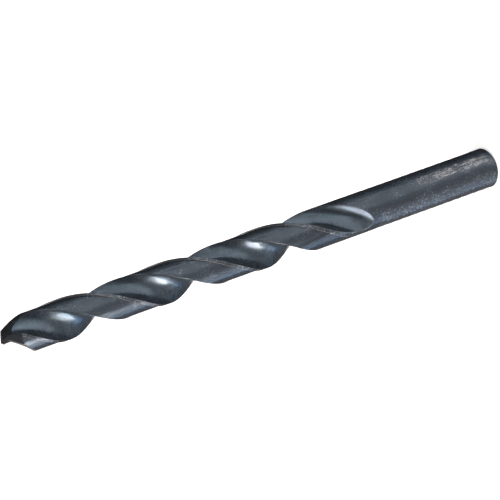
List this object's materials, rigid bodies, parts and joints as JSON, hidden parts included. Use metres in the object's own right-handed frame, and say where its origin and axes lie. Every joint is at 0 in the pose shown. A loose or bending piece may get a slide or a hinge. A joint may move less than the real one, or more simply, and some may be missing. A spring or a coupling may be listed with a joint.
{
  "type": "twist drill bit",
  "caption": "Straight-shank twist drill with right-hand helical flutes, margins, body clearance, wheel run-outs and a split point, blackened steel.",
  "frame": {"origin": "centre of the flat shank end, on which the drill stands", "axes": "+Z along the drill's axis from the shank to the point; +X through one cutting corner"},
  "size_m": [0.0074, 0.0074, 0.1106],
  "materials": {
    "blackened_steel": "ground high-speed steel with a blue-black oxide finish"
  },
  "bodies": {
    "root": {"drill_bit": "blackened_steel"}
  },
  "joints": []
}
